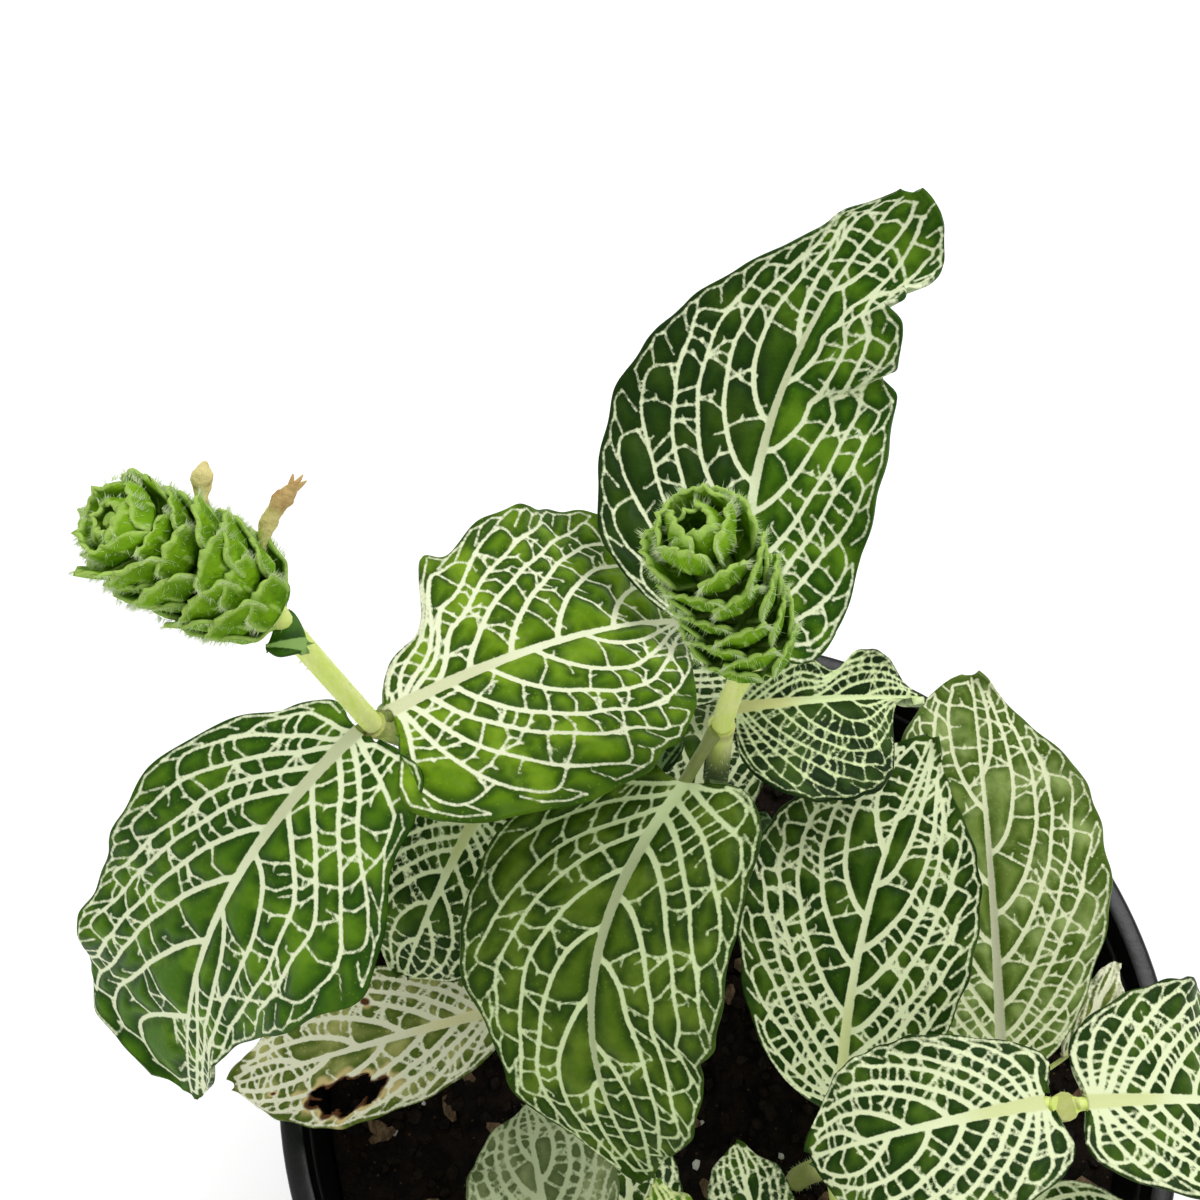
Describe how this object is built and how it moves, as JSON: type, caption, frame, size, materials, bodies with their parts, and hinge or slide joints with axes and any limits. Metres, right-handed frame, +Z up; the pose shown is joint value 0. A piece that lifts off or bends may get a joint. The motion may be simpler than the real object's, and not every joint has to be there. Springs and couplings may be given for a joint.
{
  "type": "potted nerve plant",
  "caption": "Small foliage plant with broad net-veined ribbed leaves and short bract spikes, in soil in a thin round nursery pot with a stepped rim.",
  "frame": {"origin": "centre of the pot's flat underside, on the surface that it stands on", "axes": "+Z is up. +Y points away from the viewer of the picture, towards the side that the tallest leaf leans to. +X is to the viewer's right, away from the side that the leaning flower spike is on."},
  "size_m": [0.1254, 0.1343, 0.178],
  "materials": {
    "pot_plastic": "thin black moulded plastic, glossy, a little dusty",
    "soil_mix": "dark moist peat with bark crumbs and a few white grains",
    "stem_flesh": "pale green, short soft hairs",
    "leaf_green": "satin green with a raised net of cream white veins",
    "leaf_pale": "satin faded green with cream veins and dry brown patches",
    "bract_green": "bright green with soft white hairs",
    "withered_flower": "dry, matt, yellow to brown"
  },
  "bodies": {
    "root": {"pot": "pot_plastic", "soil": "soil_mix", "stem_left": "stem_flesh", "stem_middle": "stem_flesh", "stem_right": "stem_flesh", "stem_inner": "stem_flesh", "stem_front_left": "stem_flesh", "stem_front": "stem_flesh", "stem_back": "stem_flesh", "spike_left": "bract_green", "spike_middle": "bract_green", "withered_flower_1": "withered_flower", "withered_flower_2": "withered_flower", "leaf_left": "leaf_green", "stalk_bract_1": "bract_green", "stalk_bract_2": "bract_green", "leaf_centre": "leaf_green", "leaf_back": "leaf_green", "leaf_front": "leaf_green", "leaf_folded": "leaf_green", "leaf_right_inner": "leaf_green", "leaf_right_outer": "leaf_green", "leaf_low_inner": "leaf_green", "leaf_low_outer": "leaf_green", "leaf_shaded": "leaf_green", "leaf_yellowing": "leaf_pale", "leaf_pale": "leaf_pale", "leaf_under_centre": "leaf_green", "leaf_under_front": "leaf_green", "leaf_withered": "leaf_pale", "leaf_dark_left": "leaf_green", "leaf_dark_right": "leaf_green", "leaf_young": "leaf_green", "leaf_inner_front": "leaf_green", "leaf_left_back": "leaf_green", "leaf_middle_back": "leaf_green", "leaf_low_back_left": "leaf_green", "leaf_low_back_right": "leaf_green", "leaf_fore_left": "leaf_green", "leaf_fore_middle": "leaf_green", "leaf_fore_right": "leaf_green", "leaf_fore_top": "leaf_green", "leaf_fore_low": "leaf_green", "leaf_fore_low_left": "leaf_green", "leaf_right_low": "leaf_green"}
  },
  "joints": []
}
